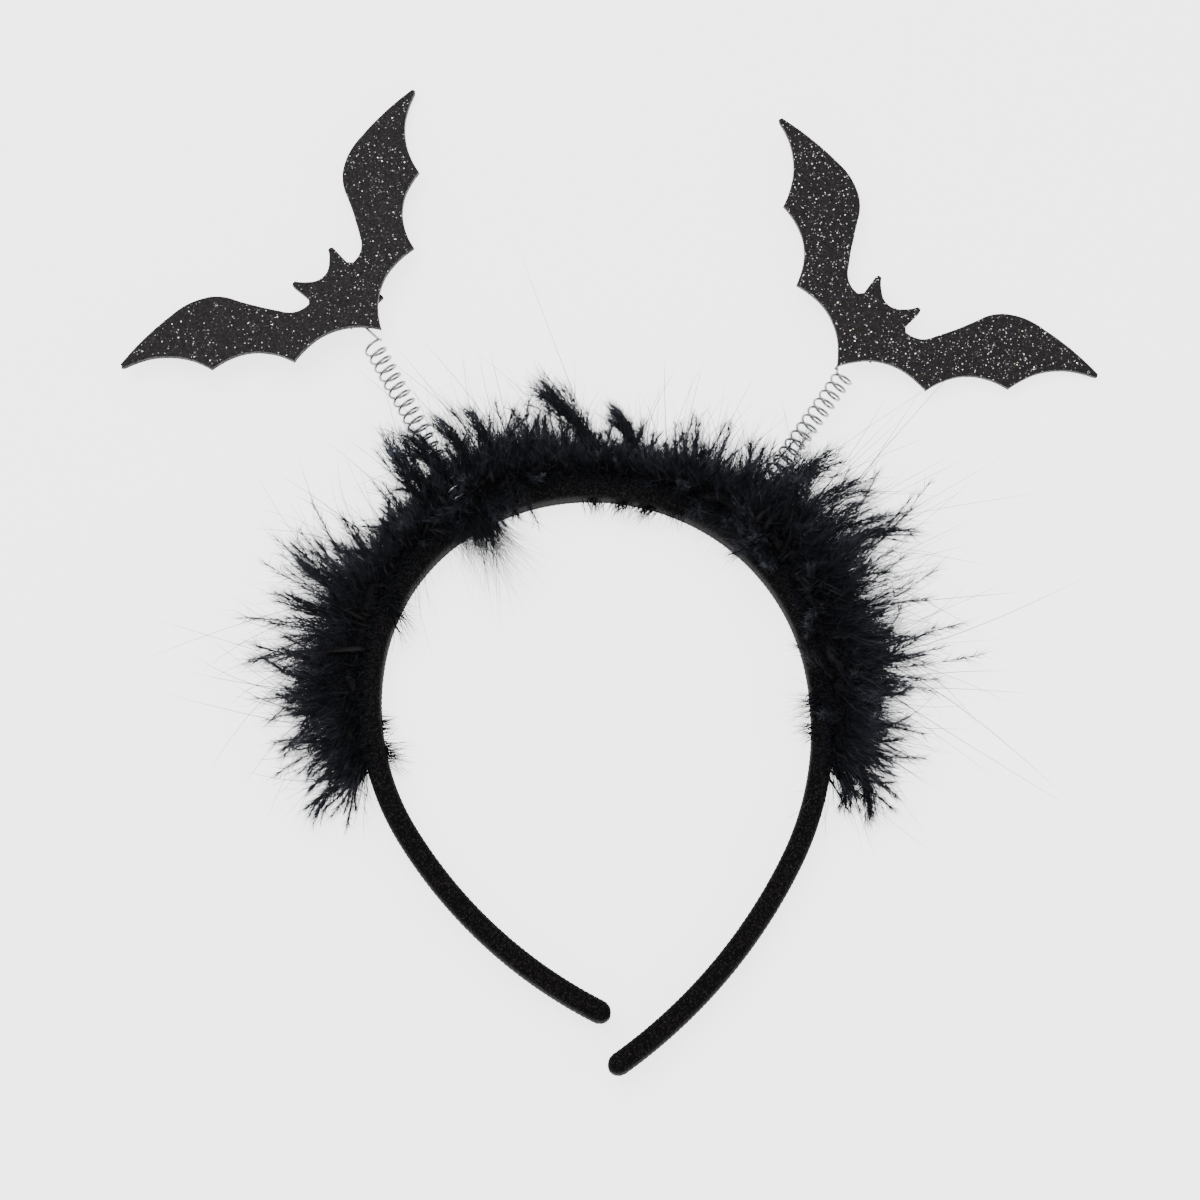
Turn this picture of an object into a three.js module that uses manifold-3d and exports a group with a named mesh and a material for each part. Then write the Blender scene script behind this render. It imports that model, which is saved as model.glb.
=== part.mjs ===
// Bat headband: a knit-covered hair band with a feather trim over its crown,
// and a foam bat on a coil spring at each side.
// It lies flat, as it is stored: the band's plane is XY, its crown points along +Y and +Z is up.
// The model is laid out from the middle of the crown's inner edge, and moved at the end
// so that the middle of its outer box stands on the origin.
// Lengths are in millimetres and angles in degrees.
import * as THREE from 'three';
import Module from 'manifold-3d';
import { mergeVertices } from 'three/addons/utils/BufferGeometryUtils.js';

const wasm = await Module();
wasm.setup();

// Driving dimensions
const gap = 0.3; // clearance between neighbouring pieces

const headWidth = 112; // inner width of the band at its widest
const bandDepth = 10; // the band's own width, which stands up from the table
const crownThickness = 5.8; // core and knit cover together, at the crown
const armThickness = 5.1; // the same along the arms
const bandEdge = 1.6; // rounding of the band's long edges
const tipRound = 3.2; // length of each arm's rounded end

const ruffWidth = 15; // widest part of the feathers' closed body, from the band's outer face
const ruffHeight = 13.5; // how high that body stands
const plumeLength = 27; // longest lock, from the band's outer face
const lockWidth = 13; // a lock at its widest
const lockDepth = 8;
const lockCount = 42;

const wireDiameter = 0.7;
const coilDiameter = 5.2; // across the middle of the wire
const coilTurns = 18;
const turnLean = 7.5; // how far the turns' upper sides lean towards the bat
const footLength = 9; // wire laid along the band's outer face
const legLength = 12; // wire held behind the bat

const batSpan = 108.8; // wing tip to wing tip
const batHeight = 44.2; // tail to the wings' top edge
const foamThickness = 2;
const batClearance = 1; // wing tips above the table
const patchSize = 12;
const patchThickness = 1.5;

// Arcs of the band's inner edge, from the crown to each tip: radius as a share of the head's width
const bandArcs = {
  right: [
    { radius: 0.524, sweep: 27.8 },
    { radius: 0.492, sweep: 49.4 },
    { radius: 0.675, sweep: 39 },
    { radius: 1.226, sweep: 29.6 },
  ],
  left: [
    { radius: 0.524, sweep: 27.5 },
    { radius: 0.449, sweep: 49 },
    { radius: 0.559, sweep: 45 },
    { radius: 1.087, sweep: 33 },
  ],
};

// One row for each side. root and trimEnd are shares of that arm's length from the crown,
// coil is the coil's length, lean turns it from the band's normal, and rootHeight is its middle at
// the band. quarter is the part of a turn past the whole ones. batAlong and batAcross place the
// bat's tail from the coil's end, batTurn turns the bat from the coil, slope lowers its wings and
// roll lowers its right wing. legAcross is where the wire passes under the bat's edge, from the tail.
// patchAcross and patchUp place the patch's middle as shares of its size.
const sides = {
  right: {
    sign: 1, root: 0.1902, trimEnd: 0.53, coil: 50, lean: 2.6, rootHeight: 8.4, quarter: 0.25,
    batAlong: -0.2, batAcross: -2.95, batTurn: -4.7, slope: 3.5, roll: 2.5, legAcross: 0,
    patchAcross: 0, patchUp: 1.15,
  },
  left: {
    sign: -1, root: 0.165, trimEnd: 0.55, coil: 50.1, lean: -2.5, rootHeight: 11.2, quarter: 0.75,
    batAlong: 1.85, batAcross: 3.9, batTurn: 17.1, slope: 9.5, roll: 2.5, legAcross: -2.1,
    patchAcross: 0.11, patchUp: 1.12,
  },
};

// The trim from its left end to its right end: how far its locks reach outwards, as a share of the
// longest lock, how far the upper ones lean back over the band, and which way they sweep along it.
const trimRows = [
  { at: 0, reach: 0.62, over: 0, sweep: -42 },
  { at: 0.05, reach: 0.85, over: 0, sweep: -26 },
  { at: 0.1, reach: 0.95, over: 0, sweep: -12 },
  { at: 0.25, reach: 1.08, over: 0, sweep: 5 },
  { at: 0.33, reach: 1, over: 0.2, sweep: 16 },
  { at: 0.41, reach: 0.76, over: 1, sweep: 4 },
  { at: 0.47, reach: 0.72, over: 0.1, sweep: -8 },
  { at: 0.57, reach: 0.72, over: 0, sweep: -18 },
  { at: 0.63, reach: 0.85, over: 0.3, sweep: -12 },
  { at: 0.7, reach: 1.05, over: 0.6, sweep: 4 },
  { at: 0.86, reach: 1.12, over: 0.1, sweep: 12 },
  { at: 0.95, reach: 0.9, over: 0, sweep: 22 },
  { at: 1, reach: 0.66, over: 0, sweep: 36 },
];

// Half of the bat's outline from its tail to the middle of its head: x as a share of half the span,
// y of the height, and bow of the step's length, where a hollow edge has a negative bow
const batOutline = [
  { x: 0.405, y: 0.233, bow: -0.18 }, // first point of the wing's lower edge
  { x: 0.704, y: 0.563, bow: -0.17 }, // second point
  { x: 0.985, y: 0.955, bow: -0.14 }, // wing tip, lower corner
  { x: 0.99, y: 0.985, bow: 0.4 }, // wing tip, upper corner
  { x: 0.65, y: 0.99, bow: 0.03 }, // top edge
  { x: 0.45, y: 0.905, bow: 0.08 }, // shoulder of the wing
  { x: 0.385, y: 0.8, bow: 0.06 },
  { x: 0.27, y: 0.53, bow: -0.02 },
  { x: 0.15, y: 0.432, bow: -0.16 }, // neck
  { x: 0.13, y: 0.46, bow: 0 }, // foot of the ear
  { x: 0.1375, y: 0.575, bow: 0 },
  { x: 0.113, y: 0.603, bow: 0.35 }, // tip of the ear
  { x: 0.067, y: 0.535, bow: -0.05 },
  { x: 0, y: 0.497, bow: -0.1 }, // middle of the head
];

// Materials
const knit = new THREE.MeshStandardMaterial({ color: 0x1c1a1b, roughness: 0.95, metalness: 0 });
const marabou = new THREE.MeshStandardMaterial({ color: 0x0e0e12, roughness: 0.85, metalness: 0 });
const steel = new THREE.MeshStandardMaterial({ color: 0xb9bbbd, roughness: 0.3, metalness: 1 });
const glitterFoam = new THREE.MeshStandardMaterial({ color: 0x332f31, roughness: 0.55, metalness: 0 });
const plainFoam = new THREE.MeshStandardMaterial({ color: 0x161516, roughness: 0.8, metalness: 0 });

const radians = THREE.MathUtils.degToRad;
const up = new THREE.Vector3(0, 0, 1);

// The band's line

// Length of one arm of the band, from the crown to its tip
function armLength(side) {
  return bandArcs[side].reduce((sum, arc) => sum + arc.radius * headWidth * radians(arc.sweep), 0);
}

// Point of the inner edge at a distance from the crown, with its outward normal
// and its direction towards the tip
function innerEdge(side, distance) {
  let x = 0;
  let y = 0;
  let turned = 0;
  let left = distance;
  for (const arc of bandArcs[side]) {
    const radius = arc.radius * headWidth;
    const last = arc === bandArcs[side].at(-1);
    const angle = last ? left / radius : Math.min(left / radius, radians(arc.sweep));
    x += radius * (Math.sin(turned + angle) - Math.sin(turned));
    y += radius * (Math.cos(turned + angle) - Math.cos(turned));
    turned += angle;
    left -= angle * radius;
    if (left <= 0) break;
  }
  const sign = sides[side].sign;
  return {
    point: new THREE.Vector3(sign * x, y, 0),
    normal: new THREE.Vector3(sign * Math.sin(turned), Math.cos(turned), 0),
    along: new THREE.Vector3(sign * Math.cos(turned), -Math.sin(turned), 0),
  };
}

// The band is thickest at the crown and reaches the arms' thickness halfway down
function bandThickness(side, distance) {
  const share = Math.min(distance / (0.5 * armLength(side)), 1);
  return armThickness + (crownThickness - armThickness) * Math.cos(share * Math.PI / 2) ** 2;
}

function outerFace(side, distance, outwards) {
  const edge = innerEdge(side, distance);
  return edge.point.addScaledVector(edge.normal, bandThickness(side, distance) + outwards);
}

// Distances along one line through both arms: negative on the left, positive on the right
function sideOf(distance) {
  return distance < 0 ? 'left' : 'right';
}

// Solids

// Closed body through a row of rings with equal counts of points
function loft(rings) {
  const sections = rings.length;
  const count = rings[0].length;
  const positions = rings.flat().flatMap((p) => [p.x, p.y, p.z]);
  const faces = [];
  for (let i = 0; i + 1 < sections; i++) {
    for (let j = 0; j < count; j++) {
      const a = i * count + j;
      const b = i * count + (j + 1) % count;
      faces.push(a, b, a + count, b, b + count, a + count);
    }
  }
  for (const [ring, flip] of [[0, true], [sections - 1, false]]) {
    const middle = new THREE.Vector3();
    rings[ring].forEach((p) => middle.addScaledVector(p, 1 / count));
    const centre = positions.push(middle.x, middle.y, middle.z) / 3 - 1;
    for (let j = 0; j < count; j++) {
      const a = ring * count + j;
      const b = ring * count + (j + 1) % count;
      faces.push(...(flip ? [b, a, centre] : [a, b, centre]));
    }
  }
  const geometry = new THREE.BufferGeometry();
  geometry.setAttribute('position', new THREE.Float32BufferAttribute(positions, 3));
  geometry.setIndex(faces);
  return facingOut(geometry);
}

// Turns every face round where the body is inside out, which its signed volume tells
function facingOut(geometry) {
  const body = geometry.clone();
  body.deleteAttribute('normal');
  body.deleteAttribute('uv');
  const merged = mergeVertices(body, 1e-5);
  const index = merged.index.array;
  const at = (i) => new THREE.Vector3().fromBufferAttribute(merged.attributes.position, index[i]);
  let volume = 0;
  for (let i = 0; i < index.length; i += 3) volume += at(i).dot(at(i + 1).cross(at(i + 2)));
  if (volume < 0) {
    for (let i = 0; i < index.length; i += 3) [index[i], index[i + 1]] = [index[i + 1], index[i]];
  }
  return merged;
}

function toSolid(geometry) {
  const merged = facingOut(geometry);
  return new wasm.Manifold(new wasm.Mesh({
    numProp: 3,
    vertProperties: new Float32Array(merged.attributes.position.array),
    triVerts: new Uint32Array(merged.index.array),
  }));
}

function fromSolid(solid) {
  const mesh = solid.getMesh();
  const geometry = new THREE.BufferGeometry();
  geometry.setAttribute('position', new THREE.BufferAttribute(mesh.vertProperties, 3));
  geometry.setIndex(new THREE.BufferAttribute(mesh.triVerts, 1));
  return geometry;
}

// Round bar along a list of points
function bar(points, radius, cuts, facets) {
  const path = new THREE.CatmullRomCurve3(points);
  path.arcLengthDivisions = cuts * 12;
  const section = new THREE.Shape();
  for (let i = 0; i < facets; i++) {
    const angle = i / facets * 2 * Math.PI;
    section[i ? 'lineTo' : 'moveTo'](radius * Math.cos(angle), radius * Math.sin(angle));
  }
  return facingOut(new THREE.ExtrudeGeometry(section, { steps: cuts, extrudePath: path, bevelEnabled: false }));
}

// Band

// Section of the band, grown by a margin and shrunk towards its middle at the rounded tips
function bandSection(side, distance, margin, shrink) {
  const edge = innerEdge(side, distance);
  const thickness = bandThickness(side, distance);
  const halfWidth = thickness / 2 * shrink + margin;
  const halfDepth = bandDepth / 2 - bandEdge * (1 - shrink) + margin;
  const round = Math.min(bandEdge, halfWidth * 0.9);
  const ring = [];
  for (const [cornerX, cornerZ, start] of [[1, 1, 0], [-1, 1, 90], [-1, -1, 180], [1, -1, 270]]) {
    for (const turn of [0, 45, 90]) {
      const angle = radians(start + turn);
      const outwards = cornerX * (halfWidth - round) + round * Math.cos(angle);
      const height = cornerZ * (halfDepth - round) + round * Math.sin(angle);
      ring.push(edge.point.clone()
        .addScaledVector(edge.normal, thickness / 2 + outwards)
        .addScaledVector(up, bandDepth / 2 + height));
    }
  }
  return ring;
}

// Whole band from the left tip to the right tip, with a flat facet across the middle of the crown
function bandBody(margin) {
  const rings = [];
  const stations = 31;
  for (const side of ['left', 'right']) {
    const length = armLength(side);
    const cuts = [];
    for (let i = 0; i < stations; i++) {
      cuts.push({ distance: (length - tipRound) * (i + 0.5) / (stations - 0.5), shrink: 1 });
    }
    for (const share of [0.45, 0.8, 0.98]) {
      cuts.push({ distance: length - tipRound * (1 - share), shrink: Math.sqrt(1 - share ** 2) });
    }
    const half = cuts.map((cut) => bandSection(side, cut.distance, margin, cut.shrink));
    // The left arm's rings are mirrored, so their order is reversed to run the same way round
    if (side === 'left') rings.push(...half.reverse());
    else rings.push(...half);
  }
  return loft(rings);
}

// Springs and bats

// Frame of one spring: where it stands on the band, its direction, and where its coil ends
function springFrame(side) {
  const row = sides[side];
  const distance = row.root * armLength(side);
  const normal = innerEdge(side, distance).normal;
  const direction = normal.clone().applyAxisAngle(up, radians(row.lean));
  const foot = outerFace(side, distance, 0);
  const across = new THREE.Vector3().crossVectors(direction, up);
  return { distance, direction, across, foot, heading: Math.atan2(direction.y, direction.x) };
}

// Places the bat: its tail beyond the coil's end, its wings lowered towards the table
function batFrame(side) {
  const row = sides[side];
  const spring = springFrame(side);
  const tail = spring.foot.clone()
    .addScaledVector(spring.direction, row.coil + row.batAlong)
    .addScaledVector(spring.across, row.batAcross);
  tail.z = batClearance + batHeight * Math.sin(radians(row.slope))
    + batSpan / 2 * Math.sin(radians(Math.abs(row.roll)));
  const frame = new THREE.Group();
  frame.position.copy(tail);
  frame.rotation.set(-radians(row.slope), radians(row.roll), spring.heading + radians(row.batTurn - 90), 'ZXY');
  frame.updateMatrixWorld(true);
  return frame;
}

// Wire behind the bat runs a clearance below the foam
const wireBehind = gap + wireDiameter / 2;

// Point of the wire behind the bat, from the bat's tail
function wireAt(side, y) {
  return batFrame(side).localToWorld(new THREE.Vector3(sides[side].legAcross, y, -wireBehind));
}

// Middle line of the coil
function coilAxis(side) {
  const spring = springFrame(side);
  const row = sides[side];
  const start = spring.foot.clone().setZ(row.rootHeight)
    .addScaledVector(spring.direction, coilDiameter / 2
      * (Math.tan(radians(Math.abs(row.lean))) + Math.tan(radians(turnLean))) + 2 * gap);
  const end = spring.foot.clone().addScaledVector(spring.direction, row.coil).setZ(wireAt(side, 0).z);
  return new THREE.Line3(start, end);
}

function springPath(side) {
  const row = sides[side];
  const spring = springFrame(side);
  const coil = coilAxis(side);
  const axis = coil.delta(new THREE.Vector3()).normalize();
  const right = new THREE.Vector3().crossVectors(axis, up).normalize();
  const down = new THREE.Vector3().crossVectors(axis, right);

  // Foot along the band's face, on the side from which the coil's lowest turn sets out
  const points = [];
  const toTip = Math.sign(right.dot(innerEdge(side, spring.distance).along));
  for (const share of [1, 0.66, 0.33]) {
    const place = outerFace(side, spring.distance + toTip * footLength * share, gap + wireDiameter / 2);
    points.push(place.setZ(row.rootHeight - coilDiameter / 2));
  }

  // Coil: a right-handed helix that sets out at its lowest point
  const turns = coilTurns + row.quarter;
  const steps = Math.round(turns * 12);
  for (let i = 0; i <= steps; i++) {
    const angle = 2 * Math.PI * (turns * i / steps + 0.25);
    points.push(coil.at(i / steps, new THREE.Vector3())
      .addScaledVector(right, coilDiameter / 2 * Math.cos(angle))
      .addScaledVector(down, coilDiameter / 2 * Math.sin(angle))
      .addScaledVector(axis, -coilDiameter / 2 * Math.sin(angle) * Math.tan(radians(turnLean))));
  }

  // Leg up behind the bat
  points.push(wireAt(side, 0), wireAt(side, legLength * 0.4), wireAt(side, legLength));
  return points;
}

function springBody(side) {
  return bar(springPath(side), wireDiameter / 2, coilTurns * 9 + 14, 5);
}

function batBody() {
  const right = [{ x: 0, y: 0, bow: 0 }, ...batOutline];
  const place = (row, mirror) => new THREE.Vector2(mirror * row.x * batSpan / 2, row.y * batHeight);
  const shape = new THREE.Shape();
  shape.moveTo(0, 0);
  const step = (from, to, bow, mirror) => {
    const chord = to.clone().sub(from);
    const outwards = new THREE.Vector2(chord.y, -chord.x).multiplyScalar(2 * bow);
    const control = from.clone().add(to).multiplyScalar(0.5).add(outwards);
    if (bow) shape.quadraticCurveTo(control.x, control.y, to.x, to.y);
    else shape.lineTo(to.x, to.y);
  };
  for (let i = 1; i < right.length; i++) {
    step(place(right[i - 1], 1), place(right[i], 1), right[i].bow);
  }
  for (let i = right.length - 1; i > 0; i--) {
    step(place(right[i], -1), place(right[i - 1], -1), right[i].bow);
  }
  return new THREE.ExtrudeGeometry(shape, { depth: foamThickness, bevelEnabled: false, curveSegments: 5 });
}

function patchBody(side) {
  const row = sides[side];
  const half = patchSize / 2;
  const shape = new THREE.Shape();
  shape.moveTo(-half, -half).lineTo(half, -half).lineTo(half, half).lineTo(-half, half);
  const body = new THREE.ExtrudeGeometry(shape, { depth: patchThickness, bevelEnabled: false });
  const below = wireBehind + wireDiameter / 2 + gap + patchThickness;
  return body.translate(row.patchAcross * patchSize, row.patchUp * patchSize, -below);
}

// Feather trim

// Value of a column of the trim's table at a share of the trim's length
function trimValue(share, column) {
  const after = Math.max(trimRows.findIndex((row) => row.at >= share), 1);
  const [a, b] = [trimRows[after - 1], trimRows[after]];
  return THREE.MathUtils.lerp(a[column], b[column], (share - a.at) / (b.at - a.at));
}

// Closed body of the feathers: an oval rope against the band's outer face
function ruffBody(start, end) {
  const rings = [];
  const stations = 34;
  for (let i = 0; i < stations; i++) {
    const share = i / (stations - 1);
    const distance = THREE.MathUtils.lerp(start, end, share);
    const side = sideOf(distance);
    const edge = innerEdge(side, Math.abs(distance));
    const halfWidth = ruffWidth / 2 * trimValue(share, 'reach') * (1 + 0.06 * Math.sin(i * 2.2));
    const halfHeight = ruffHeight / 2 * (0.6 + 0.4 * Math.sin(Math.PI * share) ** 0.5);
    const middle = outerFace(side, Math.abs(distance), halfWidth * 0.85);
    const ring = [];
    for (let j = 0; j < 8; j++) {
      const angle = 2 * Math.PI * (j + 0.5) / 8;
      ring.push(middle.clone()
        .addScaledVector(edge.normal, halfWidth * Math.cos(angle))
        .setZ(halfHeight * (1 + Math.sin(angle))));
    }
    rings.push(ring);
  }
  return loft(rings);
}

// One lock: a curved, tapering body from the ruff outwards. Its layer is 0 along the table,
// 1 in the middle and 2 on top, and the top ones may lean back over the band.
function lockBody(index, start, end) {
  const share = (index + 0.5) / lockCount;
  const distance = THREE.MathUtils.lerp(start, end, share);
  const side = sideOf(distance);
  const edge = innerEdge(side, Math.abs(distance));
  const layer = index % 3;
  const over = layer === 2 ? trimValue(share, 'over') : 0;
  const uneven = 1 + 0.1 * Math.sin(index * 2.4);
  const length = trimValue(share, 'reach') * plumeLength * uneven * [0.88, 0.84, 0.66][layer];
  const rootLift = radians([5, 22, 55][layer] + 70 * over);
  const tipLift = radians([3, 14, 38][layer] + 120 * over);
  const sweep = radians(trimValue(share, 'sweep') + 14 * Math.sin(index * 1.7));
  const rightwards = edge.along.clone().multiplyScalar(sides[side].sign);
  const outwards = edge.normal.clone().multiplyScalar(Math.cos(sweep))
    .addScaledVector(rightwards, Math.sin(sweep));
  const root = outerFace(side, Math.abs(distance), ruffWidth * [0.25, 0.3, 0.2][layer] * length / plumeLength)
    .setZ([0.3, 0.5, 0.7][layer] * ruffHeight);
  const reachTo = (lift, far) => root.clone()
    .addScaledVector(outwards, far * Math.cos(lift))
    .addScaledVector(up, far * Math.sin(lift));
  const tip = reachTo(tipLift, length).addScaledVector(rightwards, length * 0.15 * Math.sin(index * 3.1));
  const line = new THREE.QuadraticBezierCurve3(root, reachTo(rootLift, length * 0.55), tip);
  const rings = [];
  for (const [t, width] of [[0, 0.8], [0.4, 1], [0.76, 0.72], [1, 0.1]]) {
    const here = line.getPoint(t);
    const heading = line.getTangent(t);
    const flat = new THREE.Vector3().crossVectors(heading, up).normalize();
    const high = new THREE.Vector3().crossVectors(flat, heading);
    const ring = [];
    for (let j = 0; j < 5; j++) {
      const angle = 2 * Math.PI * j / 5;
      ring.push(here.clone()
        .addScaledVector(flat, lockWidth / 2 * width * Math.cos(angle))
        .addScaledVector(high, lockDepth / 2 * width * Math.sin(angle)));
    }
    rings.push(ring);
  }
  return loft(rings);
}

// Everything of the trim that lies below the table is cut away
function tableBody() {
  const size = 4 * headWidth;
  return new THREE.BoxGeometry(size, size, bandDepth).translate(0, 0, -bandDepth / 2);
}

// Room for a spring in the feathers: its coil, and its foot on the band
function springRoom(side) {
  const coil = coilAxis(side);
  const reach = coilDiameter / coil.distance();
  const coilRoom = bar(
    [coil.at(-reach, new THREE.Vector3()), coil.at(1 + reach, new THREE.Vector3())],
    (coilDiameter + wireDiameter) / 2 + 2 * gap, 2, 8);
  const footRoom = bar(springPath(side).slice(0, 5), wireDiameter / 2 + 2 * gap, 10, 6);
  return toSolid(coilRoom).add(toSolid(footRoom));
}

function trimBody() {
  const start = -sides.left.trimEnd * armLength('left');
  const end = sides.right.trimEnd * armLength('right');
  let solid = toSolid(ruffBody(start, end));
  for (let i = 0; i < lockCount; i++) solid = solid.add(toSolid(lockBody(i, start, end)));
  solid = solid.subtract(toSolid(tableBody()));
  solid = solid.subtract(toSolid(bandBody(gap)));
  for (const side of ['left', 'right']) solid = solid.subtract(springRoom(side));
  // Ends of locks that the springs' room cuts off are left out
  const pieces = solid.decompose().sort((a, b) => b.volume() - a.volume());
  return fromSolid(pieces[0]);
}

// Assembly

function piece(name, geometry, material) {
  const mesh = new THREE.Mesh(geometry, material);
  mesh.name = name;
  return mesh;
}

const model = new THREE.Group();
model.add(piece('band', bandBody(0), knit));
model.add(piece('feather_trim', trimBody(), marabou));
for (const side of ['left', 'right']) {
  model.add(piece(`spring_${side}`, springBody(side), steel));
  const frame = batFrame(side);
  frame.add(piece(`bat_${side}`, batBody(), glitterFoam));
  frame.add(piece(`bat_${side}_patch`, patchBody(side), plainFoam));
  model.add(frame);
}

// The middle of the outer box goes to the origin, and its underside onto the table
const box = new THREE.Box3().setFromObject(model, true);
const middle = box.getCenter(new THREE.Vector3());
model.position.set(-middle.x, -middle.y, -box.min.z);

const headband = new THREE.Group();
headband.add(model);

export default headband;
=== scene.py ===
# Bat headband lying on a pale surface: a knit-covered band with a marabou trim,
# and a glitter-foam bat on a coil spring at each side.
# Numbers are millimetres in the row frame, and become metres where a mesh is made.
import math

import bpy
import numpy as np
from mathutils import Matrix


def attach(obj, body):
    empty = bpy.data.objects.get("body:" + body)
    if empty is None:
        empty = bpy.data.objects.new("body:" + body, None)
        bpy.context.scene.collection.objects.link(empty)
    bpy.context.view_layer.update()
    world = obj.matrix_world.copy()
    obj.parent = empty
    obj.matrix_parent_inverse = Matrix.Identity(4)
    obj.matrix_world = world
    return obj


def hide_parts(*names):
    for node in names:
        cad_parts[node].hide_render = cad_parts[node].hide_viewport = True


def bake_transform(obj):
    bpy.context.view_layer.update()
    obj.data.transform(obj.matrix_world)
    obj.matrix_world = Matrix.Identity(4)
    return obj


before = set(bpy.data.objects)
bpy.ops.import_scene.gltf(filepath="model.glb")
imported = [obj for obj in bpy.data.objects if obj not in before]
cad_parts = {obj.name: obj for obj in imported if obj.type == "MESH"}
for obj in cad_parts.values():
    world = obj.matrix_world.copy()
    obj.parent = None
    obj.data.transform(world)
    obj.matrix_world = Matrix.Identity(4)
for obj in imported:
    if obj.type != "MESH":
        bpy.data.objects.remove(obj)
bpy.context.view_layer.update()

toMetres = 0.001


# Camera: above the band, leaning towards its tips, as the photograph was taken
viewTilt = math.radians(11)
viewDistance = 1100.0
viewWidth = 312.0
viewCentre = np.array([-2.68, -8.19, 5.0])
sensorWidth = 36

camera = bpy.data.objects.new("camera", bpy.data.cameras.new("camera"))
bpy.context.scene.collection.objects.link(camera)
bpy.context.scene.camera = camera
towardsCamera = np.array([0, -math.sin(viewTilt), math.cos(viewTilt)])
camera.location = toMetres * (viewCentre + viewDistance * towardsCamera)
camera.rotation_euler = (viewTilt, 0, 0)
camera.data.sensor_width = sensorWidth
camera.data.lens = sensorWidth * viewDistance / viewWidth
camera.data.clip_end = 10
print("camera placed")


# Small tools

def toLinear(hexColour):
    channels = [int(hexColour[i:i + 2], 16) / 255 for i in (1, 3, 5)]
    return tuple(c / 12.92 if c <= 0.04045 else ((c + 0.055) / 1.055) ** 2.4 for c in channels) + (1.0,)


def addNode(tree, kind, inputs=None, **settings):
    node = tree.nodes.new(kind)
    for key, value in settings.items():
        setattr(node, key, value)
    for key, value in (inputs or {}).items():
        if isinstance(value, bpy.types.NodeSocket):
            tree.links.new(value, node.inputs[key])
        else:
            node.inputs[key].default_value = value
    return node


# A material whose shader's sockets are set from a dictionary: its node tree and its shader
def newMaterial(name, sockets):
    material = bpy.data.materials.new(name)
    material.use_nodes = True
    shader = material.node_tree.nodes["Principled BSDF"]
    for key, value in sockets.items():
        shader.inputs[key].default_value = value
    return material, material.node_tree, shader


# Colour ramp between (position, hex colour) stops
def addRamp(tree, factor, stops):
    ramp = addNode(tree, "ShaderNodeValToRGB", {"Fac": factor})
    elements = ramp.color_ramp.elements
    while len(elements) < len(stops):
        elements.new(0.5)
    for element, (position, colour) in zip(elements, stops):
        element.position = position
        element.color = toLinear(colour)
    return ramp.outputs["Color"]


# One mesh from points in millimetres and face arrays, which may have different corner counts
def makePiece(name, points, faceArrays, material, body, replaced=(), smooth=True):
    mesh = bpy.data.meshes.new(name)
    points = np.asarray(points, float)
    loops = np.concatenate([np.asarray(f).ravel() for f in faceArrays]).astype(np.int32)
    totals = np.concatenate([np.full(len(f), np.asarray(f).shape[1]) for f in faceArrays]).astype(np.int32)
    starts = (np.cumsum(totals) - totals).astype(np.int32)
    mesh.vertices.add(len(points))
    mesh.vertices.foreach_set("co", (points * toMetres).ravel())
    mesh.loops.add(len(loops))
    mesh.loops.foreach_set("vertex_index", loops)
    mesh.polygons.add(len(totals))
    mesh.polygons.foreach_set("loop_start", starts)
    mesh.polygons.foreach_set("loop_total", totals)
    mesh.polygons.foreach_set("use_smooth", np.full(len(totals), smooth))
    mesh.update(calc_edges=True)
    mesh.validate()
    mesh.materials.append(material)
    piece = bpy.data.objects.new(name, mesh)
    bpy.context.scene.collection.objects.link(piece)
    if body:
        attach(piece, body)
    if replaced:
        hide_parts(*replaced)
    return piece


# A value kept on every point of a piece, for its material
def keepOnPoints(piece, name, values):
    attribute = piece.data.attributes.new(name, "FLOAT", "POINT")
    attribute.data.foreach_set("value", np.asarray(values, np.float32).ravel())


# Faces of a grid of rows x columns points whose columns close on themselves
def ringFaces(rows, columns, first=0):
    i = np.arange(rows - 1)[:, None] * columns
    j = np.arange(columns)[None, :]
    k = (j + 1) % columns
    return first + np.stack([i + j, i + k, i + columns + k, i + columns + j], -1).reshape(-1, 4)


# Points of a tube: its rings, then the middle of each end
def tubePoints(rings):
    return np.concatenate([rings.reshape(-1, 3), [rings[0].mean(0), rings[-1].mean(0)]])


# Faces of a closed tube whose points are its rings and then one for each end
def tubeFaces(rows, columns):
    j = np.arange(columns)
    last = (rows - 1) * columns
    start = np.stack([(j + 1) % columns, j, np.full(columns, rows * columns)], -1)
    end = np.stack([last + j, last + (j + 1) % columns, np.full(columns, rows * columns + 1)], -1)
    return [ringFaces(rows, columns), start, end]


def unit(vectors):
    return vectors / np.maximum(np.linalg.norm(vectors, axis=-1, keepdims=True), 1e-9)


strandFacets = 3


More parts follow.
